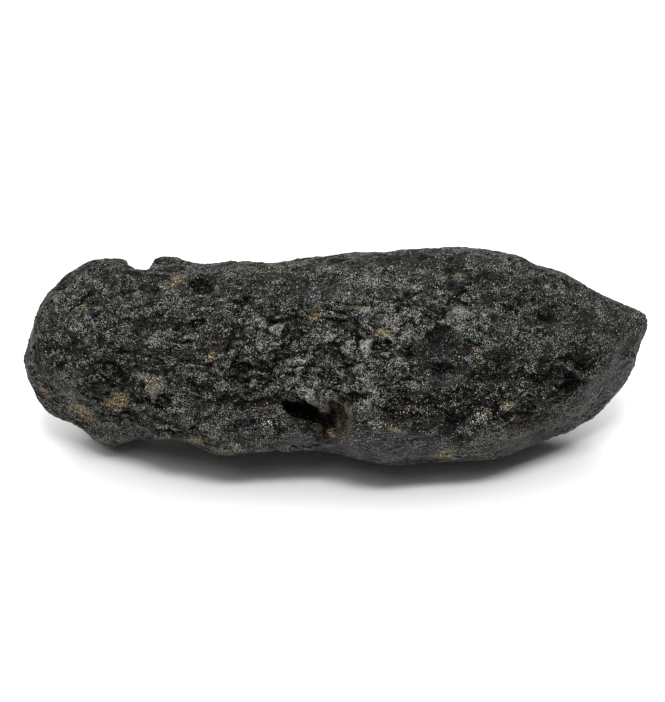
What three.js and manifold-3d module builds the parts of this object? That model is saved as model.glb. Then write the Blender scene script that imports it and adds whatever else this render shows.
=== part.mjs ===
// A tektite: one piece of natural black glass, a splash form about 100 mm long.
// It is blunt and round at one end (-X) and tapers to a chipped point at the other (+X).
// Its broad face leans back, so the stone is shaped in the frame of that face and then
// turned to lie as it rests: x runs along the stone, v up the broad face and w out of it.
// Lengths are in millimetres and angles in degrees. The stone is one solid and one node.

import * as THREE from "three";
import { ImprovedNoise } from "three/addons/math/ImprovedNoise.js";
import { mergeVertices } from "three/addons/utils/BufferGeometryUtils.js";
import Module from "manifold-3d";

// ---- Driving dimensions ----

const LENGTH = 100.4;
const HALF_LENGTH = LENGTH / 2;
const FACE_ELEVATION = 35; // how far above the horizon the broad face looks
const WORN_BASE = 0.7; // depth of the flat that the belly rests on
const SIDES = 70; // corners of the net round the stone
const RINGS = 64; // rings of the net along the stone

// The outline of the broad face, seen square on: its upper and its lower edge, as [x, v].
const UPPER_EDGE = [
  [-HALF_LENGTH, 0.6], [-49.3, 2.6], [-46.2, 9.3], [-42.3, 14.2], [-37, 16.2], [-30, 16], [-22, 15.9],
  [-16, 16.4], [-10, 15.5], [0, 17.2], [10, 17.8], [18, 18.5], [25, 17.9], [31, 16.5], [38, 14],
  [45, 10.1], [49.4, 7.4], [HALF_LENGTH, 6.4],
];
const LOWER_EDGE = [
  [-HALF_LENGTH, 0.6], [-49.3, -2.9], [-46.4, -8.1], [-42, -10.9], [-39.5, -12.6], [-37, -13.6],
  [-34, -13.1], [-30, -13.5], [-24, -13.2], [-18, -15], [-14, -14.2], [-8, -14.2], [-2, -13.9],
  [6, -16.4], [15, -16.6], [25, -15.9], [31, -14], [38, -11.8], [43, -9.1], [46, -5.4],
  [48, -1.6], [49.4, 3.2], [HALF_LENGTH, 6.4],
];

// How deep the stone is in front of and behind its axis, as shares of half its height: [x, share].
const FRONT_SHARE = [
  [-HALF_LENGTH, 0.8], [-40, 0.92], [-30, 1], [0, 0.98], [20, 0.95], [38, 0.9], [HALF_LENGTH, 0.85],
];
const BACK_SHARE = [
  [-HALF_LENGTH, 0.7], [-40, 0.8], [-30, 0.95], [-16, 1.16], [0, 1], [20, 0.88], [30, 0.74],
  [40, 0.7], [HALF_LENGTH, 0.7],
];
// How far in front of the axis the lower edge lies: the belly draws back at both ends. [x, w].
const LOWER_EDGE_DEPTH = [
  [-HALF_LENGTH, -2], [-44, -6], [-38, -7.5], [-33, -6], [-27, 0], [-20, 2], [0, 2], [15, 1],
  [25.8, -2.5], [32, -5.5], [38, -6.5], [44, -5.5], [48, -3.5], [HALF_LENGTH, 0],
];
const SECTION_POWER = 2.25; // 2 is an ellipse, and more is squarer

// Faces that flow and wear have flattened: outward normal [x, v, w], distance from the axis, softness.
const FLATTENED_FACES = [
  { name: "tip side, lower", normal: [0.48, -0.771, 0.42], distance: 25.9, softness: 0.25 },
  { name: "tip side, middle", normal: [0.699, -0.564, 0.44], distance: 33.4, softness: 0.25 },
  { name: "tip side, upper", normal: [0.713, -0.529, 0.46], distance: 34.2, softness: 0.25 },
  { name: "under the blunt end", normal: [-0.38, -0.74, 0.5], distance: 23.4, softness: 1 },
  { name: "tip back", normal: [0.5, 0.62, -0.6], distance: 31, softness: 1.2 },
  { name: "blunt end", normal: [-0.92, -0.1, 0.38], distance: 48, softness: 1.5 },
  { name: "broad face", normal: [0, 0.1, 0.995], distance: 15.2, softness: 2 },
];

// Lumps stand out of the surface and hollows sink into it: centre [x, v, w], reach and height.
const LUMPS_AND_HOLLOWS = [
  { name: "knob under the blunt end", at: [-36.3, -13.5, -5], reach: 4, height: 1.4 },
  { name: "block beside the notch", at: [-26.8, 16, 1], reach: 3, height: 1.4 },
  { name: "bump on the top edge", at: [-12.4, 16, 1], reach: 2.2, height: 0.8 },
  { name: "raised tip", at: [50, 7, 0], reach: 3.5, height: 0.7 },
  { name: "saddle behind the knob", at: [-27.5, -13.5, 0], reach: 5, height: -0.9 },
  { name: "furrow above the blunt end", at: [-39.3, 10.4, 12], reach: 3.2, height: -0.8 },
  { name: "hollow in the blunt end", at: [-35, -1.4, 15], reach: 4.6, height: -1.3 },
  { name: "pocket below it", at: [-33.9, -5.4, 13.5], reach: 2.6, height: -0.8 },
  { name: "crescent ridge", at: [-28.8, -3.4, 15.5], reach: 2.4, height: 1.1 },
  { name: "pit beside the notch", at: [-21.3, 13.1, 10], reach: 2.3, height: -1.8 },
  { name: "smooth hollow", at: [-14.7, -0.6, 15.5], reach: 3.4, height: -0.8 },
  { name: "long hollow, left half", at: [-12.4, -5.3, 14.5], reach: 2.6, height: -1.1 },
  { name: "long hollow, right half", at: [-8.8, -6, 14.5], reach: 2.4, height: -1 },
  { name: "small pit", at: [-9.5, 2.1, 15.5], reach: 1.8, height: -0.7 },
  { name: "mid ridge, upper half", at: [3.2, 1.2, 15.5], reach: 2.8, height: 0.8 },
  { name: "mid ridge, lower half", at: [5.8, -3.2, 15.5], reach: 2.8, height: 0.8 },
  { name: "upper dark pit", at: [16, 3.6, 15.5], reach: 2.8, height: -1.5 },
  { name: "lower dark pit", at: [16.4, -1.2, 15.5], reach: 2.6, height: -1.4 },
  { name: "bubble pit 1", at: [26.6, 7.8, 12.5], reach: 2.2, height: -0.8 },
  { name: "bubble pit 2", at: [30, 10.6, 9.5], reach: 2, height: -0.7 },
  { name: "bubble pit 3", at: [33.9, 8.3, 9.5], reach: 2, height: -0.7 },
  { name: "hollow near the tip", at: [37, -3.1, 10.5], reach: 2.4, height: -0.9 },
  { name: "dimple under the face", at: [30.4, -9.1, 10.5], reach: 3.8, height: -1.5 },
];

// Shallow pits scattered over the skin: the share of its length they lie in, their reach and depth.
const SCATTERED_PITS = {
  count: 150,
  seed: 5,
  span: [0.16, 0.84],
  reach: [1.7, 3.4],
  depth: [0.3, 0.9],
};

// Slow swells of the whole surface: wavelength and height.
const SWELLS = [
  { wavelength: 19, height: 0.75 },
  { wavelength: 8.5, height: 0.5 },
];

// Cavities cut into the stone: centre [x, v, w], half sizes, and turns about x, v and w.
const CAVITIES = [
  { name: "notch", at: [-31.2, 17.3, 1], half: [2.3, 3.5, 11], turn: [-6, 6, 6] },
  { name: "gas hole", at: [-4.5, -6.95, 13.4], half: [3.5, 1.2, 4.2], turn: [20, 0, -30] },
  { name: "scoop", at: [0, -8.35, 13.1], half: [2.1, 3.8, 1.7], turn: [24, 0, -20] },
];
const CAVITY_SIDES = 22;

// ---- Helpers ----

const wasm = await Module();
wasm.setup();

// A smooth curve through [x, value] points. It runs in the angle whose cosine is -x, so that
// an outline can turn back on itself at the two ends.
function curveThrough(points) {
  const angle = (x) => Math.acos(THREE.MathUtils.clamp(-x / HALF_LENGTH, -1, 1));
  const at = points.map(([x]) => angle(x));
  const value = points.map(([, v]) => v);
  const slope = at.map((_, i) => {
    const before = Math.max(i - 1, 0);
    const after = Math.min(i + 1, at.length - 1);
    return (value[after] - value[before]) / (at[after] - at[before]);
  });
  return (x) => {
    const a = angle(x);
    let i = at.findIndex((next) => next > a) - 1;
    if (i < 0) i = at.length - 2;
    const span = at[i + 1] - at[i];
    const t = (a - at[i]) / span;
    const rise = value[i + 1] - value[i];
    const bend = (1 - t) * (slope[i] * span - rise) - t * (slope[i + 1] * span - rise);
    return value[i] + t * rise + t * (1 - t) * bend;
  };
}

// Runs change(point) on each vertex and writes the point back.
function eachPoint(geometry, change) {
  const position = geometry.getAttribute("position");
  const point = new THREE.Vector3();
  for (let i = 0; i < position.count; i += 1) {
    point.fromBufferAttribute(position, i);
    change(point, i);
    position.setXYZ(i, point.x, point.y, point.z);
  }
  return geometry;
}

// A closed geometry with its shared vertices merged, as the boolean library needs it.
function merged(geometry) {
  const bare = geometry.clone();
  bare.deleteAttribute("normal");
  bare.deleteAttribute("uv");
  return mergeVertices(bare, 1e-4);
}

function toSolid(geometry) {
  const closed = merged(geometry);
  return new wasm.Manifold(new wasm.Mesh({
    numProp: 3,
    vertProperties: new Float32Array(closed.getAttribute("position").array),
    triVerts: new Uint32Array(closed.index.array),
  }));
}

function toGeometry(solid) {
  const mesh = solid.getMesh();
  const geometry = new THREE.BufferGeometry();
  geometry.setAttribute("position", new THREE.BufferAttribute(mesh.vertProperties, 3));
  geometry.setIndex(new THREE.BufferAttribute(mesh.triVerts, 1));
  geometry.computeVertexNormals();
  return geometry;
}

// ---- The stone, step by step ----

// Stretches a unit ball, its poles along x, into the body that the outline and depths describe.
function stretchedBody() {
  const upper = curveThrough(UPPER_EDGE);
  const lower = curveThrough(LOWER_EDGE);
  const frontShare = curveThrough(FRONT_SHARE);
  const backShare = curveThrough(BACK_SHARE);
  const lowerEdgeDepth = curveThrough(LOWER_EDGE_DEPTH);
  const ball = new THREE.SphereGeometry(1, SIDES, RINGS).rotateZ(-Math.PI / 2);
  return eachPoint(merged(ball), (point) => {
    const x = HALF_LENGTH * point.x;
    const middle = (upper(x) + lower(x)) / 2;
    const half = (upper(x) - lower(x)) / 2;
    const round = Math.hypot(point.y, point.z) || 1;
    const up = point.y / round;
    const out = point.z / round;
    const power = SECTION_POWER;
    const square = (Math.abs(up) ** power + Math.abs(out) ** power) ** (-1 / power);
    const share = out > 0 ? frontShare(x) : backShare(x);
    const lowness = Math.max(-up * square, 0);
    const depth = half * share * out * square + lowerEdgeDepth(x) * lowness ** 2;
    point.set(x, middle + half * up * square, depth);
  });
}

// Presses what stands out past each flattened face back to its plane.
function flatten(point) {
  for (const face of FLATTENED_FACES) {
    const normal = new THREE.Vector3(...face.normal).normalize();
    const past = point.dot(normal) - face.distance;
    const pressed = face.softness * Math.log1p(Math.exp(past / face.softness));
    point.addScaledVector(normal, -pressed);
  }
}

// Picks vertices of the surface as centres of shallow pits, the same ones each time. The vertices
// run ring by ring from end to end, so a middle share of them keeps clear of the two ends.
function scatteredPits(geometry) {
  const { count, seed, span, reach, depth } = SCATTERED_PITS;
  const position = geometry.getAttribute("position");
  const random = THREE.MathUtils.seededRandom;
  const between = ([low, high]) => THREE.MathUtils.lerp(low, high, random());
  random(seed);
  return Array.from({ length: count }, () => {
    const centre = new THREE.Vector3();
    centre.fromBufferAttribute(position, Math.floor(between(span) * position.count));
    return { at: centre.toArray(), reach: between(reach), height: -between(depth) };
  });
}

// Moves the surface along its own normals by the lumps, the hollows, the pits and the swells.
function roughen(geometry) {
  geometry.computeVertexNormals();
  const normals = geometry.getAttribute("normal");
  const spots = [...LUMPS_AND_HOLLOWS, ...scatteredPits(geometry)];
  const noise = new ImprovedNoise();
  const normal = new THREE.Vector3();
  const centre = new THREE.Vector3();
  return eachPoint(geometry, (point, i) => {
    let height = 0;
    for (const spot of spots) {
      const near = point.distanceTo(centre.set(...spot.at)) / spot.reach;
      height += spot.height * Math.exp(-near * near);
    }
    SWELLS.forEach((swell, k) => {
      const scaled = centre.copy(point).divideScalar(swell.wavelength).addScalar(7.3 * (k + 1));
      height += swell.height * noise.noise(scaled.x, scaled.y, scaled.z);
    });
    point.addScaledVector(normal.fromBufferAttribute(normals, i), height);
  });
}

function cavitySolid(cavity) {
  const [turnX, turnV, turnW] = cavity.turn.map(THREE.MathUtils.degToRad);
  const ball = new THREE.SphereGeometry(1, CAVITY_SIDES, CAVITY_SIDES / 2);
  ball.scale(...cavity.half).rotateZ(turnW).rotateY(turnV).rotateX(turnX);
  return toSolid(ball.translate(...cavity.at));
}

// Cuts the cavities, turns the stone from the frame of its face to how it rests, and cuts its base flat.
function finishedStone(body) {
  const cut = CAVITIES.reduce((stone, cavity) => stone.subtract(cavitySolid(cavity)), toSolid(body));
  const turned = toGeometry(cut).rotateX(THREE.MathUtils.degToRad(90 - FACE_ELEVATION));
  turned.computeBoundingBox();
  const { min, max } = turned.boundingBox;
  turned.translate(-(min.x + max.x) / 2, -(min.y + max.y) / 2, -min.z - WORN_BASE);
  const floor = new THREE.BoxGeometry(2 * LENGTH, 2 * LENGTH, LENGTH).translate(0, 0, -LENGTH / 2);
  return toGeometry(toSolid(turned).subtract(toSolid(floor)));
}

const blackGlass = new THREE.MeshStandardMaterial({ color: 0x2b2c2a, roughness: 0.55, metalness: 0 });
const tektite = new THREE.Mesh(finishedStone(roughen(eachPoint(stretchedBody(), flatten))), blackGlass);
tektite.name = "tektite";

const part = new THREE.Group();
part.add(tektite);

export default part;
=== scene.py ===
"""A tektite, a long splash form of natural black glass, as it lies on a pale table.

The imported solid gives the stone's shape and place. The skin made here starts from that solid,
takes on the pits, grooves, ridges and grain that the solid is too coarse for, and replaces it.
Places, sizes and heights on the stone are in millimetres, in the frame of its broad face: x runs
along the stone, v up the face and w out of it. The nets, the camera and the lamps are in metres.
Turns and leans are in degrees.
"""

import itertools
import math
from collections import namedtuple

import bpy
import bmesh
import numpy as np
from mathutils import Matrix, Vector, kdtree
from mathutils.bvhtree import BVHTree


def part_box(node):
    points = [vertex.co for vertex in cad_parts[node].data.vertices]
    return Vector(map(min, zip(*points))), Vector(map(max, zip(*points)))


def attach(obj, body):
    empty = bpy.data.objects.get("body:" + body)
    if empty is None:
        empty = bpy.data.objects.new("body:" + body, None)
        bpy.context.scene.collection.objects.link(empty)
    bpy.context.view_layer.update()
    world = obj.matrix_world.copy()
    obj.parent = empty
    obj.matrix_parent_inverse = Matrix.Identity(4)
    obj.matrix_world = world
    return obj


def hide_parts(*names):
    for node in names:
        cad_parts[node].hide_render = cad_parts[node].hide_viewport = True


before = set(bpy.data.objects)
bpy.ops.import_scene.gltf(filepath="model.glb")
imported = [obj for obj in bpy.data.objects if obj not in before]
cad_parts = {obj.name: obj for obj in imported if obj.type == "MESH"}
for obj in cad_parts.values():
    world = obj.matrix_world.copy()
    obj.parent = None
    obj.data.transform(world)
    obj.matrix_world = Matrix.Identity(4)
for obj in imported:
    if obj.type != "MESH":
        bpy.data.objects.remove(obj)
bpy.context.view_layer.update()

MM = 0.001

# ---- The frame of the broad face ----

FACE_ELEVATION = math.radians(35)  # how far above the horizon the broad face looks
STONE_LOW, STONE_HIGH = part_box("tektite")
STONE_MIDDLE = (STONE_LOW + STONE_HIGH) / 2
STONE_LENGTH = STONE_HIGH.x - STONE_LOW.x
FACE_ORIGIN = STONE_MIDDLE + Vector((-0.18, -0.53, -0.93)) * MM  # close to the stone's long axis
FACE_AXES = np.array([
    [1, 0, 0],
    [0, math.sin(FACE_ELEVATION), math.cos(FACE_ELEVATION)],
    [0, -math.cos(FACE_ELEVATION), math.sin(FACE_ELEVATION)],
])


def to_face(points):
    """Points of the object's frame, in metres, as [x, v, w] in millimetres."""
    return (np.asarray(points) - np.array(FACE_ORIGIN)) @ FACE_AXES.T / MM


def from_face(points):
    """Points given as [x, v, w] in millimetres, in the object's frame and in metres."""
    return np.asarray(points) * MM @ FACE_AXES + np.array(FACE_ORIGIN)


# ---- The skin's net ----

COARSE_NET = 0.45 * MM  # spacing of the net that is smoothed into a facetless body
COARSE_SMOOTHING = 12  # rounds
FINE_NET = 0.235 * MM  # spacing of the net that carries the pits and the grain
FINE_SMOOTHING = 2  # rounds
MOST_TRIANGLES = 197_000
SAME_PLACE = 1e-6  # corners of the solid closer than this, in metres, are one

# ---- Weathering, from the largest features to the finest ----

# Each pattern has a size along the skin and a height.
FLOW = np.array([0.65, 1, 1])  # the patterns of the glass are drawn out along the stone
SWIRL = 4  # size of the swirls that bend the patterns
LARGE_PITS = {"count": 130, "radii": (1.0, 2.4), "depth_share": 0.45, "seed": 41}
BOWL, BOWL_HEIGHT = 3.4, 0.65
SWELL, SWELL_HEIGHT = 5, 0.3
COARSE_RELIEF = 1.1  # how strongly bowls and swells together shape the skin
LUMP, LUMP_HEIGHT = 2.1, 0.4
SMALL_PITS = {"count": 1500, "radii": (0.4, 1.0), "depth_share": 0.42, "seed": 71}
SMALL_LUMP, SMALL_LUMP_HEIGHT = 0.95, 0.2
LONG_CREVICE, SHORT_CREVICE = 2.6, 1.6
SHORT_CREVICE_SHARE = 0.8  # how deep short crevices are beside long ones
CREVICE_DEPTH = 0.35
GRAIN, GRAIN_HEIGHT = 0.5, 0.2

# Where masks begin and end. The first four are cosines between the skin's normal and an axis of the face.
FRONT = (-0.05, 0.35)  # the broad face itself
SEEN = (-0.25, 0)  # all that isn't turned away from it
TOP = (0.35, 0.9)  # what looks up the face
EDGE = (0.15, 0.55)  # the edge round it looks out of the face by no more than this
TIP_FACING = (0.9, 0.97)  # cosine between the skin's normal and that of a flat face at the tip
TIP_NEARNESS = (0.15, 0.5)  # distance from such a face
TIP_END = (40, 46)  # x
BLUNT_END = (-41, -47)  # x
ZONE_BORDER = (0.8, 1.15)  # the rest are shares of the size of a zone, patch, hollow or hole
PATCH_BORDER = (0.55, 1.25)
SHADE_BORDER = (0.5, 1.3)
WALL_BORDER = (1.1, 1.3)

# How relief and grain are held back, as shares taken away, and how pale and worn some parts are.
END_CALM = 0.6
EDGE_CALM = 0.4
WORN_CALM = 0.85
EDGE_GRAIN_CALM = 0.2
EVEN_GRAIN = 0.6  # the part of the grain that doesn't follow the relief
# Painted shade that darkens what looks up the face, towards the overhead light.
TOP_PAINTED_SHADE = 0.1
BLUNT_END_DARKNESS = 0.12
TIP_WEAR = 0.35

# How the share of pale grains follows clumps, and how much shade is painted into what lies deep and into
# crevices.
CLUMP, CLUMP_FLOW = 3.2, (0.7, 1, 1)
CLUMP_SHARE = 0.09
RELIEF_CLUMP_SHARE = 0.1
DEEP_SHADE, DEEP_ROUNDS, DEEP_HEIGHT = 0.24, 40, 0.35
FINE_SHADE, FINE_ROUNDS, FINE_HEIGHT = 0.1, 8, 0.12
CREVICE_SHADE = 0.45
HOLLOW_SHADE = 0.6  # what a shade of 1 takes away

# Profiles: reach is measured from the middle, and is 1 at the edge.
HOLLOW_POWER = 1.1
HOLLOW_RIM = (1.1, 0.2)  # reach and width
PIT_POWER = 0.9
PIT_RIM = (1.08, 0.14)  # reach and width
PIT_RIM_SHARE = 0.15  # height of the rim beside the depth of the pit
PIT_REACH = 1.3  # beyond this there is no rim left
PIT_DEPTHS = (0.5, 1.2)
PIT_SLIMNESS = (1, 2.2)
PIT_TILT = (-0.6, 0.6)  # radians
CREVICE_WIDTH = 0.12
CREVICE_ENDS = (-0.1, 0.3)
WELL_OUTSIDE = 0.06  # metres from the stone's axis, more than half its depth

# How ragged outlines are.
HOLE_RAG, HOLE_RAGGEDNESS, HOLE_RAG_START = 1.7, 0.17, 5
SWIRL_REACH = 0.35
ZONE_WOBBLE = 0.15
HOLLOW_WOBBLE = 0.25
RIDGE_WOBBLE = 0.3
WORN_WOBBLE = 0.5
PATCH_RAGGEDNESS = 0.6

# ---- Flat faces at the tapered end: outward normal [x, v, w] and distance from the face origin ----

TIP_FACES = [
    ((0.48, -0.771, 0.42), 25.75),
    ((0.699, -0.564, 0.44), 33.25),
    ((0.713, -0.529, 0.46), 34.05),
]

# ---- Places on the broad face, in millimetres ----

# Holes that run into the stone: centre [x, v, w], half sizes along x, v and w, turn in the face, lean.
HOLES = {
    "gas_hole": {"at": (-4.8, -7.6, 12), "half": (3.8, 1.45, 5), "turn": -20, "lean": -18},
    "scoop": {"at": (0.2, -9.6, 12.4), "half": (3.4, 1.9, 3.8), "turn": -98, "lean": -28},
    "notch": {"at": (-31.1, 18, 0), "half": (1.9, 2.6, 14), "turn": 0, "lean": 0},
}
STAINED_WALLS = {"gas_hole": 0.5, "scoop": 0.95}  # how strongly each hole's walls are stained brown

# Hollows of the broad face. A rim is the height of the ridge round a hollow, and shade is painted shade
# that darkens it.
Hollow = namedtuple("Hollow", "x v half_length half_height turn depth rim shade")
HOLLOWS = {
    "furrow above the blunt end": Hollow(-39.6, 9.6, 3, 0.5, 40, 0.4, 0.1, 0.4),
    "hollow in the blunt end": Hollow(-34.9, -2.3, 4.6, 3.2, 10, 0.3, 0.1, 0.3),
    "pocket of clay": Hollow(-33.9, -6, 2.2, 1.3, 5, 0.5, 0.15, 0),
    "pit beside the notch": Hollow(-21, 11.8, 2, 1.2, -10, 0.9, 0.25, 0.6),
    "smooth hollow": Hollow(-14.7, -1.5, 3, 2.2, 0, 0.3, 0.1, 0.35),
    "long brown hollow": Hollow(-10.6, -6.2, 4, 0.9, 8, 0.5, 0.15, 0.4),
    "small pit": Hollow(-9.5, 1.2, 1, 0.9, 0, 0.9, 0.15, 0.8),
    "shade inside the gas hole": Hollow(-4.8, -7.6, 3.4, 1.2, -18, 0, 0, 1.4),
    "shadow under the gas hole": Hollow(-3.1, -9.1, 2.3, 1, -15, 0.3, 0, 0.9),
    "foot of the scoop": Hollow(-0.9, -12.2, 2.1, 0.8, 0, 0.5, 0.1, 0.7),
    "shaded side of the scoop": Hollow(-0.9, -10, 0.9, 2.5, -8, 0.3, 0, 1.2),
    "upper dark pit": Hollow(16.9, 3.7, 2.8, 1.9, 0, 1.1, 0.3, 0.3),
    "shaded edge of the upper pit": Hollow(15.2, 4.9, 1.4, 0.5, 35, 0.4, 0, 0.9),
    "lower dark pit": Hollow(17.3, -2.2, 3, 1.9, 0, 1.2, 0.3, 0),
    "dark gap under the bright middle": Hollow(3, -0.6, 1.6, 0.7, 20, 0.5, 0.1, 0.3),
    "shaded edge of the lower pit": Hollow(16.5, -0.8, 2.2, 0.8, -8, 0.8, 0, 1.2),
    "bubble 1": Hollow(26.6, 6.8, 2.2, 1.8, 20, 0.5, 0.2, 0.1),
    "bubble 2": Hollow(30, 9.7, 1.8, 1.4, -20, 0.5, 0.2, 0.2),
    "bubble 3": Hollow(33.9, 7.4, 2, 1.6, 0, 0.5, 0.2, 0.2),
    "bubble 4": Hollow(32, 4.2, 1.4, 1.2, 0, 0.5, 0.2, 0.1),
    "hollow near the tip": Hollow(37, -3.8, 1.9, 0.9, 5, 0.7, 0.15, 0.6),
    "dimple under the face": Hollow(30.4, -9.6, 4.2, 1.5, 20, 0.3, 0.15, 0.3),
    "dark gap 1": Hollow(-21.8, 6, 1.7, 0.6, 15, 0.6, 0.1, 0.6),
    "dark gap 2": Hollow(-23.4, 3.1, 1.5, 0.5, 5, 0.6, 0.1, 0.6),
    "crease, right end": Hollow(4.4, 8.9, 2.4, 0.6, 0, 0.3, 0.1, 0.5),
    "crease, middle": Hollow(-6.4, 6.5, 3.2, 0.7, 5, 0.3, 0.1, 0.5),
    "dark gap 3": Hollow(-14.7, 9.2, 1.5, 0.6, -10, 0.6, 0.1, 0.5),
}

# Ridges, and grooves where the height is less than 0: [x, v] of both ends, half width and height.
RIDGES = {
    "crescent, upper half": ((-30.7, -1.7), (-27.7, -3.8), 0.6, 0.7),
    "crescent, lower half": ((-27.6, -4), (-28.6, -6.2), 0.6, 0.7),
    "mid ridge": ((2.4, 1.2), (6.2, -5.2), 0.6, 0.6),
    "bright crescent, upper half": ((4.5, 6), (9.5, 2.5), 0.6, 0.6),
    "bright crescent, lower half": ((9.5, 2.5), (11, -4), 0.6, 0.4),
    "ridge above the gas hole": ((-7.2, -2.8), (-2.5, -5.8), 0.5, 0.6),
    "lip of the gas hole": ((-3.4, -5.9), (-1.2, -7.3), 0.8, 0.5),
    "rim of the scoop, upper part": ((0.4, -6), (2.4, -7.4), 0.35, 0.5),
    "rim of the scoop, middle part": ((2.5, -7.5), (2.9, -9.8), 0.35, 0.4),
    "rim of the scoop, lower part": ((2.9, -9.9), (1.8, -12.2), 0.35, 0.4),
    "crease, left part": ((-14, 10), (-9.8, 6.2), 0.5, -0.8),
    "crease, middle part": ((-9.8, 6.2), (-3, 7.5), 0.45, -0.6),
    "crease, right part": ((0.5, 9.3), (6.5, 8.6), 0.4, -0.4),
    "shelf line, left": ((-31.7, -11.6), (-27.9, -11.2), 0.3, 0.5),
    "shelf line, right": ((-27.9, -11.2), (-23.6, -11.9), 0.3, 0.5),
    "upper shelf line": ((-27.9, -10), (-21.5, -10.9), 0.3, 0.5),
    "gap between the shelf lines": ((-27.5, -10.6), (-22.5, -11.3), 0.3, -0.5),
    "short ledge": ((-25.9, -7.4), (-23.5, -7.7), 0.35, 0.5),
    "end of the flank": ((-22.5, -9.6), (-19, -7.2), 0.35, 0.6),
    "bump under the tip": ((47.2, 1.6), (46.7, 0.9), 0.6, 1.3),
    "corner of the tip": ((48.8, 6.9), (48, 7.3), 0.6, 1),
    "gap under the corner": ((47.9, 4.2), (47.5, 2.9), 0.6, -0.5),
    "flow line, low left": ((-22.2, -10.2), (-18.5, -7.8), 0.35, -0.5),
    "flow line, lower left": ((-30, -12.3), (-22.5, -11.5), 0.3, -0.4),
    "flow line, upper right": ((14.9, 9.7), (25.8, 12.1), 0.3, -0.4),
}

# Parts of the broad face that differ from the rest in relief, in how pale they are and in wear; the
# paleness of a few is painted shade.
Zone = namedtuple("Zone", "x v half_length half_height turn relief pale worn")
ZONES = {
    "blunt end": Zone(-36, 1.1, 15, 14, 0, 0.62, 0.46, 0),
    "middle": Zone(-1, 0.6, 17, 8.5, 0, 0.95, 0.47, 0),
    "bright middle": Zone(1, 0.1, 9, 6.5, -20, 1.0, 0.5, 0),
    "top band": Zone(3, 14, 24, 4.4, 0, 0.38, 0.5, 0),
    "right part": Zone(25, 2, 12, 8, 0, 0.55, 0.45, 0),
    "tip": Zone(43.5, 3, 7, 5.5, -30, 0.3, 0.46, 0),
    "upper right": Zone(28, 9.5, 15, 6, -25, 0.38, 0.46, 0),
    "bright upper right": Zone(13.5, 7.3, 9, 4.2, 5, 0.85, 0.57, 0),
    "dark left flank": Zone(-32.4, -4.5, 8, 5.5, 10, 0.9, 0.38, 0),
    "dark middle flank": Zone(-17.5, -3, 6.5, 4, -10, 0.9, 0.38, 0),
    "dark round the pits": Zone(17, 0.8, 4.6, 5, 0, 0.25, 0.42, 0),
    # Painted shade inside the two dark pits on the right.
    "inside of the upper pit": Zone(16.9, 3.2, 2.9, 2.4, 0, 0.2, 0.3, 0.2),
    "inside of the lower pit": Zone(17.4, -2.7, 3, 1.2, 0, 0.15, 0.34, 0.5),
    "dark right of the pits": Zone(26, -1.5, 5, 2.6, 0, 0.8, 0.32, 0),
    "dark below the pits": Zone(12.5, -7, 5, 2.6, 0, 0.8, 0.34, 0),
    # Painted shade low on the right and under the tip, where the face turns down from the overhead light.
    "dark low right": Zone(22.5, -7, 7.5, 3, 0, 0.9, 0.2, 0),
    "dark under the tip": Zone(36, -2.5, 8.5, 3.4, 22, 0.8, 0.22, 0),
    "dark low right end": Zone(29.5, -4.5, 6, 3.5, 20, 0.9, 0.16, 0),
    "worn band": Zone(8, -13.1, 11, 2.4, -3, 0.3, 0.42, 0.85),
    "worn left rim": Zone(-41.5, -5.5, 6.5, 1.3, -50, 0.4, 0.55, 0.2),
    "knob": Zone(-36, -12.6, 5, 2.8, -15, 0.4, 0.62, 0.1),
    "low right edge": Zone(24, -13.3, 7, 2.4, 15, 0.4, 0.58, 0.1),
    "island under the hole": Zone(-5.6, -12.1, 3, 1.1, -10, 0.15, 0.38, 0.7),
    "bright above the hole": Zone(-4.6, -4.4, 2.8, 1.2, -35, 0.8, 0.62, 0),
    "bottom lip": Zone(-13, -13.5, 6, 0.9, -6, 0.6, 0.55, 0),
    "lip": Zone(-1.9, -6.7, 1.8, 0.9, -25, 0.15, 0.62, 0.7),
    "crescent, upper half": Zone(-29.2, -2.8, 1.9, 0.6, -38, 0.15, 0.7, 0),
    "crescent, lower half": Zone(-28, -5, 0.7, 1.5, -18, 0.15, 0.7, 0),
}
PLAIN_ZONE = {"relief": 0.5, "pale": 0.46, "worn": 0}

# Patches on the broad face: x, v, half length, half height, turn and strength.
# First clay that has stayed in the skin, then brown stain, then places of pale crumbs that cling to the
# glass and of painted glints off tiny facets.
CLAY = [
    (-24.8, 12.8, 1.4, 0.7, 35, 0.8),
    (-39.9, 8.5, 1.3, 0.4, 25, 0.6),
    (-34.2, -6.2, 2.2, 1.1, -5, 1.0),
    (-28.6, -3.6, 0.9, 1.6, 30, 0.35),
    (-28.5, -5.9, 0.7, 0.6, 0, 0.7),
    (-40.3, -8.3, 2.6, 1.1, -36, 0.9),
    (-41.9, -6.4, 0.6, 1.3, 0, 0.6),
    (-46.3, -4.6, 0.7, 2.4, 20, 0.45),
    (-22, -12.4, 1.7, 0.6, -5, 0.8),
    (-16.5, -13.8, 2.4, 0.5, -3, 0.4),
    (-19.4, 0.8, 1.2, 0.4, 45, 0.9),
    (-2.9, 7.6, 1.4, 0.9, 40, 0.75),
    (3.6, 9, 1.8, 0.5, 0, 0.15),
    (7.8, 4.3, 1.5, 0.9, -10, 0.85),
    (8.8, -10.2, 0.8, 0.5, 0, 0.9),
    (12.5, -7.4, 2.2, 0.4, -8, 0.2),
    (19.7, 13.7, 0.6, 0.4, 0, 0.8),
    (22.4, 1.2, 0.5, 1.2, 25, 0.8),
    (26.8, -6.7, 1.0, 0.8, 0, 0.7),
    (23.8, -8.3, 1.1, 0.8, 0, 0.35),
    (17.3, -14.6, 1.7, 0.8, 15, 0.8),
    (-0.4, -11.4, 0.5, 0.9, 20, 0.9),
]
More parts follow.
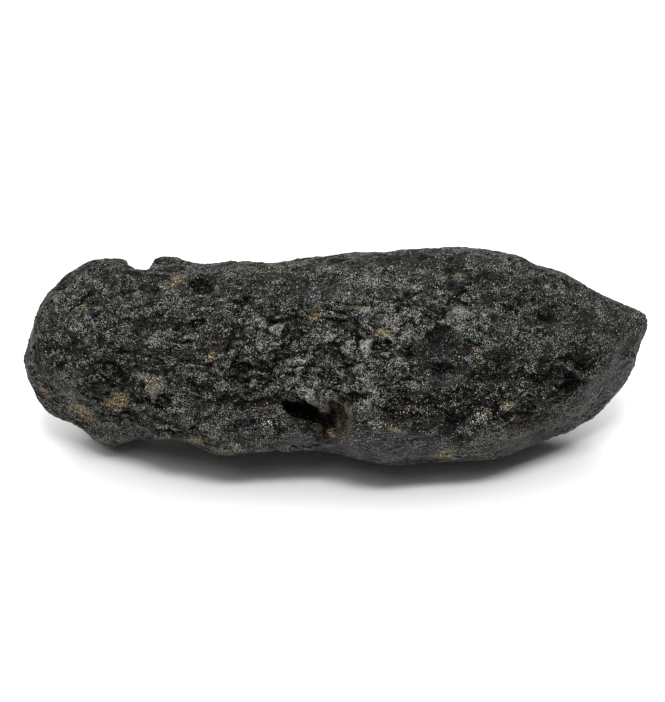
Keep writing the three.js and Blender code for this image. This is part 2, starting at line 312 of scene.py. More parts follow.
STAINS = [
    (-10.6, -6.2, 4.2, 1.1, 8, 0.7),
    (-7.2, -6.7, 1.6, 0.7, -10, 0.8),
    (-0.9, -12.2, 2.2, 0.9, 0, 0.9),
    (30.4, -9.8, 4, 1.6, 20, 0.6),
    (-20.6, 12, 1.8, 1.0, 0, 0.7),
    (-6.4, 6.5, 3.4, 0.8, 5, 0.7),
    (2.8, 8.9, 2.4, 0.8, 5, 0.5),
    (-12, 8.1, 2.8, 0.6, -42, 0.4),
]
GLINTS_AND_CRUMBS = [
    (23.3, -8.4, 2.2, 1.4, 10, 1),
    (26.9, -6.9, 1.4, 1.0, 0, 0.9),
    (13.5, -7.2, 3.2, 1.3, -10, 0.45),
    (30, -5.5, 2.2, 1.2, 30, 0.6),
    (5.5, -9.5, 3.5, 0.9, -8, 0.6),
    (-5.5, -4.8, 2.4, 1.2, -30, 0.7),
    (-10.5, -9.6, 1.0, 0.4, 0, 0.9),
    (-27, -7.5, 2.4, 0.8, -40, 0.6),
    (19, 4.6, 2.0, 1.0, 0, 0.5),
    (8, -12.6, 10, 1.6, -3, 0.2),
    (25, -6, 9, 4, 0, 0.2),
    (0, 2, 16, 8, 0, 0.1),
    (-43.8, 3, 2.5, 1.4, 0, 0.45),
    (-16, 6, 8, 4, 0, 0.2),
]


# ---- Noise and profiles ----

CELL_HASH = (73856093, 19349663, 83492791)  # large numbers that scatter neighbouring cells
RANDOM_CELLS = 4096  # rows in a table of random cells
NOISE_GAIN = 1.6  # brings the noise to about -1 to 1


def pick_of(cell):
    """The row of a random table that belongs to each cell of the grid."""
    x, y, z = cell.T
    return (x * CELL_HASH[0] ^ y * CELL_HASH[1] ^ z * CELL_HASH[2]) % RANDOM_CELLS


def gradient_noise(points, seed):
    """Smooth noise of about -1 to 1 with a wavelength of about one unit, one value for each point."""
    gradients = np.random.default_rng(seed).normal(size=(RANDOM_CELLS, 3))
    gradients /= np.linalg.norm(gradients, axis=1, keepdims=True)
    cell = np.floor(points).astype(np.int64)
    inside = points - cell
    fade = inside ** 3 * (inside * (inside * 6 - 15) + 10)
    total = np.zeros(len(points))
    for corner in itertools.product((0, 1), repeat=3):
        weight = np.prod(np.where(corner, fade, 1 - fade), axis=1)
        total += weight * np.einsum("ij,ij->i", gradients[pick_of(cell + corner)], inside - corner)
    return NOISE_GAIN * total


def fractal_noise(points, size, octaves, seed):
    """Noise with detail: each octave is half the size and half the strength of the one before."""
    return sum(
        gradient_noise(points * 2 ** k / size, seed + k) / 2 ** k for k in range(octaves)
    )


def cell_distance(points, seed):
    """Distance to the nearest of points strewn at random, one to each unit cell."""
    strewn = np.random.default_rng(seed).random((RANDOM_CELLS, 3))
    cell = np.floor(points).astype(np.int64)
    nearest = np.full(len(points), np.inf)
    for step in itertools.product((-1, 0, 1), repeat=3):
        other = cell + step
        away = np.linalg.norm(other + strewn[pick_of(other)] - points, axis=1)
        nearest = np.minimum(nearest, away)
    return nearest


def smoothstep(low, high, value):
    t = np.clip((value - low) / (high - low), 0, 1)
    return t * t * (3 - 2 * t)


def bell(value, middle, width):
    """A smooth hump, 1 where the value is at the middle."""
    return np.exp(-((value - middle) / width) ** 2)


def cup(reach, power):
    """A hollow's depth, 1 in its middle and 0 from its edge on: a lower power gives steeper walls."""
    return np.clip(1 - reach ** 2, 0, 1) ** power


# ---- Mesh helpers ----

def new_object(name, mesh):
    made = bpy.data.objects.new(name, mesh)
    bpy.context.scene.collection.objects.link(made)
    return made


def apply_modifiers(thing):
    depsgraph = bpy.context.evaluated_depsgraph_get()
    mesh = bpy.data.meshes.new_from_object(thing.evaluated_get(depsgraph))
    thing.modifiers.clear()
    thing.data = mesh


def even_net(thing, spacing):
    """Rebuilds the surface as an even net."""
    remesh = thing.modifiers.new("even_net", "REMESH")
    remesh.mode = "VOXEL"
    remesh.voxel_size = spacing
    apply_modifiers(thing)


def relax(thing, rounds):
    smooth = thing.modifiers.new("relax", "SMOOTH")
    smooth.factor = 0.5
    smooth.iterations = rounds
    apply_modifiers(thing)


def read_points(mesh, what="co"):
    values = np.empty(len(mesh.vertices) * 3, np.float32)
    mesh.vertices.foreach_get(what, values)
    return values.reshape(-1, 3).astype(float)


def write_points(mesh, points):
    mesh.vertices.foreach_set("co", np.asarray(points, np.float32).ravel())
    mesh.update()


def read_edges(mesh):
    values = np.empty(len(mesh.edges) * 2, np.int32)
    mesh.edges.foreach_get("vertices", values)
    return values.reshape(-1, 2)


def blurred(values, edges, rounds):
    """Values on the points, each mixed with its neighbours' again and again."""
    start = np.concatenate([edges[:, 0], edges[:, 1]])
    end = np.concatenate([edges[:, 1], edges[:, 0]])
    count = np.bincount(start, minlength=len(values))
    for _ in range(rounds):
        columns = [np.bincount(start, column[end], len(values)) / count for column in values.T]
        values = (values + np.stack(columns, axis=1)) / 2
    return values


def set_mask(mesh, name, values):
    attribute = mesh.attributes.new(name, "FLOAT", "POINT")
    attribute.data.foreach_set("value", np.clip(values, 0, 1).astype(np.float32))


def tree_of(mesh):
    mesh.calc_loop_triangles()
    points = [v.co for v in mesh.vertices]
    return BVHTree.FromPolygons(points, [t.vertices for t in mesh.loop_triangles])


def push_out(mesh, heights):
    """Moves each point along its normal by its height in millimetres, but never below the floor."""
    points = read_points(mesh) + read_points(mesh, "normal") * heights[:, None] * MM
    points[:, 2] = np.maximum(points[:, 2], 0)
    write_points(mesh, points)


# ---- The body of the skin ----

def body_from_solid():
    """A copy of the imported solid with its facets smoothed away."""
    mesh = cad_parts["tektite"].data.copy()
    editor = bmesh.new()
    editor.from_mesh(mesh)
    bmesh.ops.remove_doubles(editor, verts=editor.verts, dist=SAME_PLACE)
    editor.to_mesh(mesh)
    editor.free()
    mesh.materials.clear()
    skin = new_object("tektite_skin", mesh)
    even_net(skin, COARSE_NET)
    relax(skin, COARSE_SMOOTHING)
    return skin


def past_face(points, normal, distance):
    """How far points stand past a flat face at the tip, and the face's normal at unit length."""
    normal = np.array(normal) / np.linalg.norm(normal)
    return points @ normal - distance, normal


def flatten_tip(skin):
    """Presses what stands past the faces at the tapered end back to their planes."""
    points = to_face(read_points(skin.data))
    for tip_face in TIP_FACES:
        past, normal = past_face(points, *tip_face)
        points -= np.outer(np.maximum(past, 0), normal)
    write_points(skin.data, from_face(points))


def hole_axes(turn, lean):
    """The axes of a hole that is leant along its height and then turned in the face."""
    turn, lean = math.radians(turn), math.radians(lean)
    turned = np.array([
        [math.cos(turn), -math.sin(turn), 0],
        [math.sin(turn), math.cos(turn), 0],
        [0, 0, 1],
    ])
    leant = np.array([
        [1, 0, 0],
        [0, math.cos(lean), -math.sin(lean)],
        [0, math.sin(lean), math.cos(lean)],
    ])
    return leant.T @ turned.T


def hole_cutter(name, at, half, turn, lean):
    """A ragged egg that reaches into the stone."""
    editor = bmesh.new()
    bmesh.ops.create_icosphere(editor, subdivisions=6, radius=1)
    mesh = bpy.data.meshes.new(name)
    editor.to_mesh(mesh)
    editor.free()
    points = read_points(mesh)
    rags = fractal_noise(points * half / HOLE_RAG + HOLE_RAG_START, size=1, octaves=3, seed=3)
    points *= 1 + HOLE_RAGGEDNESS * rags[:, None]
    points *= half
    write_points(mesh, from_face(points @ hole_axes(turn, lean) + at))
    return new_object(name, mesh)


def carve_holes(skin):
    for name, hole in HOLES.items():
        cutter = hole_cutter(name, **hole)
        cut = skin.modifiers.new(name, "BOOLEAN")
        cut.operation = "DIFFERENCE"
        cut.solver = "MANIFOLD"
        cut.object = cutter
        apply_modifiers(skin)
        bpy.data.objects.remove(cutter)


# ---- What each point of the skin belongs to ----

def reach_of(points, x, v, half_length, half_height, turn):
    """How far points lie from a place on the broad face, as a share of the size of the patch there."""
    turn = math.radians(turn)
    along = (points[:, 0] - x) * math.cos(turn) + (points[:, 1] - v) * math.sin(turn)
    across = (points[:, 1] - v) * math.cos(turn) - (points[:, 0] - x) * math.sin(turn)
    return np.hypot(along / half_length, across / half_height)


class Skin:
    """What is known about each point of the skin before it is weathered."""

    def __init__(self, mesh):
        self.points = to_face(read_points(mesh))
        normals = read_points(mesh, "normal") @ FACE_AXES.T
        self.front = smoothstep(*FRONT, normals[:, 2])
        self.seen = smoothstep(*SEEN, normals[:, 2])
        self.top = smoothstep(*TOP, normals[:, 1])
        self.edge = 1 - smoothstep(*EDGE, np.abs(normals[:, 2]))
        self.wobble = fractal_noise(self.points, size=2.2, octaves=3, seed=21)
        self.tip = self.on_tip_faces(normals)
        self.zones = self.spread_zones()

    def on_tip_faces(self, normals):
        inside = np.zeros(len(self.points))
        for tip_face in TIP_FACES:
            past, normal = past_face(self.points, *tip_face)
            near = 1 - smoothstep(*TIP_NEARNESS, np.abs(past))
            inside = np.maximum(inside, near * smoothstep(*TIP_FACING, normals @ normal))
        return inside

    def spread_zones(self):
        """Relief, paleness of pale grains and painted shade, wear and grain of each point."""
        x = self.points[:, 0]
        spread = {name: np.full(len(x), float(value)) for name, value in PLAIN_ZONE.items()}
        for zone in ZONES.values():
            reach = reach_of(self.points, *zone[:5]) * (1 + ZONE_WOBBLE * self.wobble)
            inside = self.front * (1 - smoothstep(*ZONE_BORDER, reach))
            for name in spread:
                spread[name] += inside * (getattr(zone, name) - spread[name])
        # Painted shade on what looks up the face.
        spread["pale"] -= TOP_PAINTED_SHADE * self.top
        spread["pale"] -= BLUNT_END_DARKNESS * smoothstep(*BLUNT_END, x)
        spread["relief"] *= 1 - END_CALM * np.maximum(self.tip, smoothstep(*TIP_END, x))
        spread["relief"] *= 1 - EDGE_CALM * self.edge
        spread["worn"] = np.maximum(spread["worn"], TIP_WEAR * self.tip)
        spread["grain"] = 1 - WORN_CALM * spread["worn"]
        spread["grain"] *= 1 - EDGE_GRAIN_CALM * self.edge
        spread["grain"] *= EVEN_GRAIN + (1 - EVEN_GRAIN) * spread["relief"]
        return spread

    def patches(self, places):
        """A mask of listed patches with ragged edges."""
        mask = np.zeros(len(self.points))
        ragged = fractal_noise(self.points, size=1.0, octaves=3, seed=91)
        for x, v, half_length, half_height, turn, strength in places:
            reach = reach_of(self.points, x, v, half_length, half_height, turn)
            inside = 1 - smoothstep(*PATCH_BORDER, reach + PATCH_RAGGEDNESS * ragged)
            mask = np.maximum(mask, strength * inside * self.seen)
        return mask

    def stained_walls(self):
        """A mask of the walls of the stained holes, which ends at their rims."""
        mask = np.zeros(len(self.points))
        for name, strength in STAINED_WALLS.items():
            hole = HOLES[name]
            inside = (self.points - hole["at"]) @ hole_axes(hole["turn"], hole["lean"]).T
            reach = np.linalg.norm(inside / hole["half"], axis=1)
            mask = np.maximum(mask, strength * (1 - smoothstep(*WALL_BORDER, reach)))
        return mask


# ---- Relief of the skin: heights in millimetres ----

def hollow_heights(skin):
    """The listed hollows of the broad face, as heights, and how dark they are."""
    height = np.zeros(len(skin.points))
    shade = np.zeros(len(skin.points))
    for hollow in HOLLOWS.values():
        reach = reach_of(skin.points, *hollow[:5]) * (1 + HOLLOW_WOBBLE * skin.wobble)
        height -= skin.front * hollow.depth * cup(reach, HOLLOW_POWER)
        height += skin.front * hollow.rim * bell(reach, *HOLLOW_RIM)
        shade += HOLLOW_SHADE * skin.front * hollow.shade * (1 - smoothstep(*SHADE_BORDER, reach))
    return height, shade


def ridge_heights(skin):
    height = np.zeros(len(skin.points))
    wobble = fractal_noise(skin.points, size=1.6, octaves=2, seed=31)
    for start, end, half_width, rise in RIDGES.values():
        start, end = np.array(start), np.array(end)
        run = end - start
        share = np.clip((skin.points[:, :2] - start) @ run / (run @ run), 0, 1)
        away = np.linalg.norm(skin.points[:, :2] - start - share[:, None] * run, axis=1)
        height += skin.seen * rise * bell(away + RIDGE_WOBBLE * wobble, 0, half_width)
    return height


def swirled(points, size, seed):
    """Points shifted by a slow noise, so that what is drawn over them bends and varies."""
    shift = np.stack([gradient_noise(points / size, seed + k) for k in range(3)], axis=1)
    return points + SWIRL_REACH * size * shift


def scallops(points, size, seed):
    """Bowls side by side with sharp edges between them, -0.5 in a bowl's middle and 0.7 at most."""
    return np.minimum(cell_distance(points * FLOW / size, seed) ** 2 * 1.6, 1.2) - 0.5


def crumples(points, size, seed):
    """Rounded lumps with sharp creases between them, about -0.4 in a crease and 0.6 on a lump."""
    return 1.6 * np.abs(gradient_noise(points * FLOW / size, seed)) - 0.4


def cracks(points, size, seed):
    """Thin winding crevices that start and stop, 1 in their middle and 0 away from them."""
    line = bell(gradient_noise(points * FLOW / size, seed), 0, CREVICE_WIDTH)
    return line * smoothstep(*CREVICE_ENDS, gradient_noise(points / (1.3 * size), seed + 1))


def skin_places(tree, count, random):
    """Random places on the whole skin, found by looking in at it from outside."""
    places = []
    shares = random.uniform(-0.5, 0.5, count)
    angles = random.uniform(0, 2 * math.pi, count)
    for share, angle in zip(shares, angles):
        out = Vector((0, math.cos(angle), math.sin(angle)))
        start = STONE_MIDDLE + Vector((share * STONE_LENGTH, 0, 0)) + WELL_OUTSIDE * out
        hit = tree.ray_cast(start, -out)[0]
        if hit is not None:
            places.append(hit)
    return places


def pit_heights(mesh, count, radii, depth_share, seed):
    """Pits scattered over the skin, longer along the stone than across it."""
    random = np.random.default_rng(seed)
    points = read_points(mesh)
    finder = kdtree.KDTree(len(points))
    for i, point in enumerate(points):
        finder.insert(point, i)
    finder.balance()
    height = np.zeros(len(points))
    for place in skin_places(tree_of(mesh), count, random):
        radius = radii[0] * (radii[1] / radii[0]) ** random.random() * MM
        depth = radius * random.uniform(*PIT_DEPTHS) * depth_share
        slimness = random.uniform(*PIT_SLIMNESS)
        tilt = random.uniform(*PIT_TILT)
        near = finder.find_range(place, PIT_REACH * radius)
        rows = np.array([row for _, row, _ in near], int)
        away = points[rows] - place
        along = away[:, 0] * math.cos(tilt) + away[:, 2] * math.sin(tilt)
        across = np.sqrt(np.maximum((away ** 2).sum(axis=1) - along ** 2, 0))
        reach = np.hypot(along, slimness * across) / radius
        rim = PIT_RIM_SHARE * depth * bell(reach, *PIT_RIM)
        height[rows] = np.minimum(height[rows], -depth * cup(reach, PIT_POWER)) + rim
    return height / MM


def hollowness(mesh, edges, rounds, depth):
    """How far each point lies below its surroundings: -1 on a crest to 1 in a pit of the given depth."""
    points = read_points(mesh)
    below = ((blurred(points, edges, rounds) - points) * read_points(mesh, "normal")).sum(axis=1)
    return np.clip(below / MM / depth, -1, 1)


def wear_down(mesh, skin, placed_heights):
    """Gives the skin its relief, from the largest features to the finest, and returns its crevices."""
    relief = skin.zones["relief"]
    grain = skin.zones["grain"]
    bent = swirled(skin.points, SWIRL, seed=45)
    push_out(mesh, placed_heights)
    push_out(mesh, relief * pit_heights(mesh, **LARGE_PITS))
    bowls = BOWL_HEIGHT * scallops(bent, BOWL, seed=52)
    bowls += SWELL_HEIGHT * fractal_noise(bent, SWELL, octaves=2, seed=61)
    push_out(mesh, relief * (COARSE_RELIEF * bowls + LUMP_HEIGHT * crumples(bent, LUMP, seed=64)))
    push_out(mesh, grain * pit_heights(mesh, **SMALL_PITS))
    push_out(mesh, grain * SMALL_LUMP_HEIGHT * crumples(bent, SMALL_LUMP, seed=67))
    long_crevices = cracks(bent, LONG_CREVICE, seed=111)
    short_crevices = cracks(bent, SHORT_CREVICE, seed=121)
    crevices = np.maximum(long_crevices, SHORT_CREVICE_SHARE * short_crevices)
    push_out(mesh, relief * -CREVICE_DEPTH * crevices)
    push_out(mesh, grain * GRAIN_HEIGHT * gradient_noise(bent * FLOW / GRAIN, seed=81))
    return crevices


def pale_grains_and_cavity_shade(mesh, skin, shade, crevices):
    """Paleness: clumps of pale grains on what stands out, and painted shade in what lies deep and in the
    crevices.
    """
    edges = read_edges(mesh)
    deep = hollowness(mesh, edges, DEEP_ROUNDS, DEEP_HEIGHT)
    fine = hollowness(mesh, edges, FINE_ROUNDS, FINE_HEIGHT)
    clumps = fractal_noise(skin.points * CLUMP_FLOW, CLUMP, octaves=4, seed=101)
    clumps_and_cavity_shade = RELIEF_CLUMP_SHARE * clumps - DEEP_SHADE * deep - FINE_SHADE * fine
    clumps_and_cavity_shade -= CREVICE_SHADE * crevices
    return skin.zones["pale"] - shade + CLUMP_SHARE * clumps + skin.zones["relief"] * clumps_and_cavity_shade


def weather(thing):
    """Shapes the skin and makes the masks that the glass needs."""
    mesh = thing.data
    skin = Skin(mesh)
    heights, shade = hollow_heights(skin)
    crevices = wear_down(mesh, skin, heights + ridge_heights(skin))
    # The pale mask is the share of pale grains, darkened by the painted shade of hollows, crevices, dark
    # zones and what looks up the face.
    set_mask(mesh, "pale", pale_grains_and_cavity_shade(mesh, skin, shade, crevices))
    set_mask(mesh, "rough", skin.zones["relief"])
    set_mask(mesh, "worn", skin.zones["worn"] * (1 + WORN_WOBBLE * skin.wobble))
    set_mask(mesh, "clay", skin.patches(CLAY))
    set_mask(mesh, "stain", np.maximum(skin.patches(STAINS), skin.stained_walls()))
    set_mask(mesh, "glints_and_crumbs", skin.patches(GLINTS_AND_CRUMBS))


def thin_out(skin):
    triangles = sum(len(p.vertices) - 2 for p in skin.data.polygons)
    if triangles > MOST_TRIANGLES:
        thin = skin.modifiers.new("thin_out", "DECIMATE")
        thin.ratio = MOST_TRIANGLES / triangles
        apply_modifiers(skin)


def tektite_skin():
    skin = body_from_solid()
    flatten_tip(skin)
    carve_holes(skin)
    even_net(skin, FINE_NET)
    relax(skin, FINE_SMOOTHING)
    weather(skin)
    thin_out(skin)
    for polygon in skin.data.polygons:
        polygon.use_smooth = True
    return skin


# ---- Materials ----

# How fine the patterns in the glass are, in waves or cells to a metre.
SPECKLES = 6800
STREAKS = 2600
FLAKES = 620
CHIPS = 1700
BENDS = 900
HUES = 420
GREYS = 300
SPARKS = 4300
FROST = 6500

# How far the patterns are drawn out along the stone: less is longer.
FLAKE_STRETCH = (0.6, 1, 1)
STREAK_STRETCH = (0.5, 1, 1)
SCRATCH_STRETCH = (0.18, 1, 1)

BEND_REACH = 0.0022  # how far the edges of flakes and chips are bent, in metres
FROST_HEIGHT = 0.00012  # in metres

# The level of the etched glass: a base, and what each pattern adds to it. The tone of each flake and chip
# stands partly for the light and shade of a small tilted facet, and the rifts between flakes are painted
# shade.
BASE_LEVEL = 0.23
PALE_LEVEL = 0.36
STREAK_LEVEL = 0.2
FLAKE_LEVEL = 0.13
CHIP_LEVEL = 0.13
RIFT_WIDTH = 0.1
RIFT_LEVEL = 1.1
FLAT_LEVEL = -0.23  # brings what flakes, chips and rifts add to about nothing on average

# The strength of the speckles: a base, and what flakes and chips add to it.
LEAST_SPECKLE = 0.2
FLAKE_SPECKLE = 1.3
CHIP_SPECKLE = 0.7

# How brown and how grey the grains are from place to place: a base, and the share of a noise.
BROWNNESS = (-1, 3)
GREYNESS = (-2.4, 5)

# The pale mask carries painted shade too, and this brings it into the stains.
STAIN_PALE_LEVEL = 0.3  # what the share of pale grains adds to the level of a stain
CLAY_STREAK_LEVEL = 0.4
CLAY_DARKENING = 0.19
MEAN_NOISE = 0.5

# Tones from dark to pale: level and brightness. A tint gives the shares of red, green and blue.
ETCHED_TONES = [(0.32, 0.0006), (0.42, 0.0048), (0.5, 0.0165), (0.58, 0.038), (0.66, 0.092), (0.74, 0.32)]
GREENISH = (0.93, 1.02, 0.88)
BROWNISH = (1.06, 0.99, 0.86)
GREY = (0.975, 1, 0.965)

# Colours from dark to pale: level and colour.
WORN_COLOURS = [
    (0.41, (0.001, 0.001, 0.0012)),
    (0.48, (0.0095, 0.0095, 0.0105)),
    (0.53, (0.027, 0.027, 0.029)),
    (0.6, (0.13, 0.13, 0.13)),
]
STAINED_COLOURS = [
    (0.46, (0.001, 0.0007, 0.0004)),
    (0.62, (0.0125, 0.0098, 0.0068)),
    (0.8, (0.16, 0.135, 0.1)),
]
CLAY_COLOURS = [
    (0.4, (0.004, 0.003, 0.0012)),
    (0.47, (0.03, 0.022, 0.008)),
    (0.53, (0.08, 0.063, 0.03)),
    (0.6, (0.25, 0.205, 0.125)),
    (0.7, (0.62, 0.52, 0.37)),
]
# Bright specks: partly pale crumbs, partly painted glints off tiny facets.
GLINT_AND_CRUMB_STOPS = [(0.77, (0, 0, 0)), (0.84, (1, 1, 1))]
GLINT_AND_CRUMB_LEVEL = 0.17  # what the mask of crumbs adds to the sparks
GLINT_AND_CRUMB_COLOUR = (0.5, 0.47, 0.41, 1)

GLASS_ROUGHNESS = 0.35
FROSTED_GLOSS = 0.03
WORN_GLOSS = 0.08  # what wear adds to it


class Shader:
    """A material's nodes, made and wired in short calls."""

    def __init__(self, name):
        self.material = bpy.data.materials.new(name)
        self.material.use_nodes = True
        self.nodes = self.material.node_tree.nodes
        self.links = self.material.node_tree.links
        self.surface = self.nodes["Principled BSDF"]

    def plug(self, socket, value):
        if isinstance(value, bpy.types.NodeSocket):
            self.links.new(value, socket)
        else:
            socket.default_value = value

    def stretched(self, where, stretch):
        mapping = self.nodes.new("ShaderNodeMapping")
        mapping.inputs["Scale"].default_value = stretch
        self.links.new(where, mapping.inputs["Vector"])
        return mapping.outputs["Vector"]

    def noise(self, where, scale, detail=2, stretch=(1, 1, 1)):
        texture = self.nodes.new("ShaderNodeTexNoise")
        texture.inputs["Scale"].default_value = scale
        texture.inputs["Detail"].default_value = detail
        self.links.new(self.stretched(where, stretch), texture.inputs["Vector"])
        return texture.outputs["Fac"]

    def bent(self, where, scale, reach):
        """Places shifted to and fro by a noise."""
        shift = self.nodes.new("ShaderNodeTexNoise")
        shift.inputs["Scale"].default_value = scale
        self.links.new(where, shift.inputs["Vector"])
        node = self.nodes.new("ShaderNodeVectorMath")
        node.operation = "MULTIPLY_ADD"
        node.inputs[1].default_value = (reach, reach, reach)
        self.links.new(shift.outputs["Color"], node.inputs[0])
        self.links.new(where, node.inputs[2])
        return node.outputs["Vector"]

    def cells(self, where, scale, feature="F1"):
        """Flakes side by side."""
        texture = self.nodes.new("ShaderNodeTexVoronoi")
        texture.feature = feature
        texture.inputs["Scale"].default_value = scale
        self.links.new(self.stretched(where, FLAKE_STRETCH), texture.inputs["Vector"])
        return texture

    def random_per_cell(self, where, scale):
        """Two random numbers from 0 to 1 for each flake."""
        split = self.nodes.new("ShaderNodeSeparateColor")
        self.links.new(self.cells(where, scale).outputs["Color"], split.inputs["Color"])
        return split.outputs["Red"], split.outputs["Green"]

    def mask(self, name):
        attribute = self.nodes.new("ShaderNodeAttribute")
        attribute.attribute_name = name
        return attribute.outputs["Fac"]

    def math(self, operation, *values):
        node = self.nodes.new("ShaderNodeMath")
        node.operation = operation
        for socket, value in zip(node.inputs, values):
            self.plug(socket, value)
        return node.outputs[0]

    def add(self, base, share, value):
        """A base with a share of a value added to it."""
        return self.math("MULTIPLY_ADD", value, share, base)

    def ramp(self, value, stops):
        node = self.nodes.new("ShaderNodeValToRGB")
        elements = node.color_ramp.elements
        while len(elements) < len(stops):
            elements.new(0.5)
        for element, (position, colour) in zip(elements, stops):
            element.position = position
            element.color = (*colour, 1)
        self.links.new(value, node.inputs["Fac"])
        return node.outputs["Color"]

    def mix(self, share, first, second):
        node = self.nodes.new("ShaderNodeMix")
        node.data_type = "RGBA"
        self.plug(node.inputs["Factor"], share)
        self.plug(node.inputs[6], first)
        self.plug(node.inputs[7], second)
        return node.outputs[2]

    def bump(self, height, strength, distance):
        node = self.nodes.new("ShaderNodeBump")
        node.inputs["Strength"].default_value = strength
        node.inputs["Distance"].default_value = distance
        self.links.new(height, node.inputs["Height"])
        return node.outputs["Normal"]


def etched_level(shader, bent, speckle, streaks):
    """How far each spot of the etched glass lies from its dark ground towards its pale grains, with
    painted shading of its flakes and painted shade in the rifts between them.
    """
    flake, flake_speckle = shader.random_per_cell(bent, FLAKES)
    chip, chip_speckle = shader.random_per_cell(bent, CHIPS)
    strength = shader.add(LEAST_SPECKLE, FLAKE_SPECKLE, flake_speckle)
    strength = shader.add(strength, CHIP_SPECKLE, chip_speckle)
    grain = shader.math("MULTIPLY", shader.math("SUBTRACT", speckle, MEAN_NOISE), strength)
    rift = shader.cells(bent, FLAKES, "DISTANCE_TO_EDGE").outputs["Distance"]
    facet_shading = shader.add(FLAT_LEVEL, RIFT_LEVEL, shader.math("MINIMUM", rift, RIFT_WIDTH))
    facet_shading = shader.add(facet_shading, FLAKE_LEVEL, flake)
    facet_shading = shader.add(facet_shading, CHIP_LEVEL, chip)
    level = shader.add(BASE_LEVEL, PALE_LEVEL, shader.mask("pale"))
    level = shader.add(level, STREAK_LEVEL, streaks)
    level = shader.add(level, shader.mask("rough"), facet_shading)
    return shader.math("ADD", level, grain)


def etched_glass(shader, where, bent, speckle, streaks):
    """Near-black glass with pale grains and painted shade, greenish, brownish or grey from place to
    place.
    """
    level = etched_level(shader, bent, speckle, streaks)
    greenish, brownish, grey = [
        shader.ramp(level, [(stop, [tone * share for share in tint]) for stop, tone in ETCHED_TONES])
        for tint in (GREENISH, BROWNISH, GREY)
    ]
    brownness = shader.add(*BROWNNESS, shader.noise(bent, HUES))
    greyness = shader.add(*GREYNESS, shader.noise(where, GREYS))
    return shader.mix(greyness, shader.mix(brownness, greenish, brownish), grey)


def worn_glass(shader, where, speckle):
    """Smooth dark glass with fine scratches along it."""
    scratches = shader.noise(where, STREAKS, detail=3, stretch=SCRATCH_STRETCH)
    level = shader.math("MULTIPLY", shader.math("ADD", scratches, speckle), 0.5)
    return shader.ramp(level, WORN_COLOURS)


def stained_glass(shader, speckle):
    """The brown stain in the holes and hollows, darkened by the painted shade in the pale mask."""
    level = shader.add(speckle, STAIN_PALE_LEVEL, shader.mask("pale"))
    return shader.ramp(level, STAINED_COLOURS)


def clay(shader, speckle, streaks):
    """Ochre clay, dark where it is thin and pale where it is caked."""
    lumps = shader.add(speckle, CLAY_STREAK_LEVEL, streaks)
    return shader.ramp(shader.math("SUBTRACT", lumps, CLAY_DARKENING), CLAY_COLOURS)


def black_glass():
    """Frosted black glass with worn, stained and clay-filled places, painted shade, and pale crumbs and
    painted glints on it.
    """
    shader = Shader("black_glass")
    where = shader.nodes.new("ShaderNodeTexCoord").outputs["Object"]
    bent = shader.bent(where, BENDS, BEND_REACH)
    speckle = shader.noise(where, SPECKLES, detail=0.7)
    streaks = shader.noise(where, STREAKS, detail=3, stretch=STREAK_STRETCH)
    colour = etched_glass(shader, where, bent, speckle, streaks)
    colour = shader.mix(shader.mask("worn"), colour, worn_glass(shader, where, speckle))
    colour = shader.mix(shader.mask("stain"), colour, stained_glass(shader, speckle))
    colour = shader.mix(shader.mask("clay"), colour, clay(shader, speckle, streaks))
    # Bright specks, partly pale crumbs and partly painted glints.
    glints_and_crumbs = shader.add(shader.noise(where, SPARKS, detail=0), GLINT_AND_CRUMB_LEVEL, shader.mask("glints_and_crumbs"))
    colour = shader.mix(shader.ramp(glints_and_crumbs, GLINT_AND_CRUMB_STOPS), colour, GLINT_AND_CRUMB_COLOUR)
    frost = shader.math("ADD", speckle, shader.noise(where, FROST))
    gloss = shader.add(FROSTED_GLOSS, WORN_GLOSS, shader.mask("worn"))
    shader.plug(shader.surface.inputs["Base Color"], colour)
    shader.plug(shader.surface.inputs["Normal"], shader.bump(frost, 1, FROST_HEIGHT))
    shader.plug(shader.surface.inputs["Roughness"], GLASS_ROUGHNESS)
    shader.plug(shader.surface.inputs["Specular IOR Level"], gloss)
    return shader.material


def table_top():
    shader = Shader("pale_table")
    shader.surface.inputs["Base Color"].default_value = (0.9, 0.9, 0.9, 1)
    shader.surface.inputs["Roughness"].default_value = 0.8
    shader.surface.inputs["Specular IOR Level"].default_value = 0.2
    return shader.material


# ---- The stage, in metres and watts ----

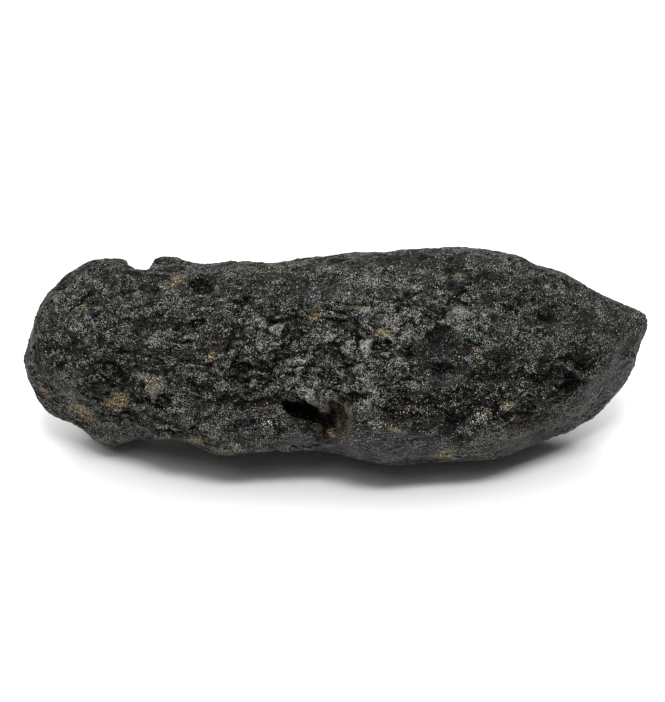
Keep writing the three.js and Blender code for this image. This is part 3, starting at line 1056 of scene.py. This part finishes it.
LENS = 160  # millimetres
SENSOR_WIDTH = 36  # millimetres
CAMERA_DISTANCE = 0.5
CAMERA_AIM = (-0.46, 0.64, 0)  # from the stone's middle, as [x, v, w] in millimetres
FLOOR_HALF_WIDTH = 2
STUDIO_LIGHT = 0.12


def make_camera():
    """A long lens that looks square at the broad face."""
    camera = bpy.data.objects.new("camera", bpy.data.cameras.new("camera"))
    bpy.context.scene.collection.objects.link(camera)
    camera.data.lens = LENS
    camera.data.sensor_width = SENSOR_WIDTH
    camera.data.clip_start = 0.01
    back = Vector(FACE_AXES[2])
    aim = STONE_MIDDLE + Vector(FACE_AXES.T @ CAMERA_AIM) * MM
    camera.location = aim + CAMERA_DISTANCE * back
    camera.rotation_euler = back.to_track_quat("Z", "Y").to_euler()
    bpy.context.scene.camera = camera


def make_floor():
    editor = bmesh.new()
    bmesh.ops.create_grid(editor, x_segments=1, y_segments=1, size=FLOOR_HALF_WIDTH)
    mesh = bpy.data.meshes.new("floor")
    editor.to_mesh(mesh)
    editor.free()
    mesh.materials.append(table_top())
    floor = new_object("floor", mesh)


def soft_light(name, place, size, watts):
    """A square lamp that looks at the stone."""
    lamp = bpy.data.lights.new(name, "AREA")
    lamp.shape = "SQUARE"
    lamp.size = size
    lamp.energy = watts
    holder = bpy.data.objects.new(name, lamp)
    bpy.context.scene.collection.objects.link(holder)
    holder.location = place
    holder.rotation_euler = (Vector(place) - STONE_MIDDLE).to_track_quat("Z", "Y").to_euler()


def make_lights():
    """A wide lamp overhead, and two small ones in front that give the shadow its edge."""
    world = bpy.data.worlds.new("studio")
    world.use_nodes = True
    world.node_tree.nodes["Background"].inputs["Color"].default_value = (1, 1, 1, 1)
    world.node_tree.nodes["Background"].inputs["Strength"].default_value = STUDIO_LIGHT
    bpy.context.scene.world = world
    soft_light("overhead", place=(-0.16, 0.23, 1), size=2.3, watts=32)
    for name, side in (("front left", -1), ("front right", 1)):
        soft_light(name, place=(side * 0.12, -0.38, 0.9), size=0.16, watts=2.7)


make_camera()
make_lights()
make_floor()
bpy.context.scene.view_settings.view_transform = "Standard"

stone = tektite_skin()
stone.data.materials.clear()
stone.data.materials.append(black_glass())
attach(stone, "root")
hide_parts("tektite")
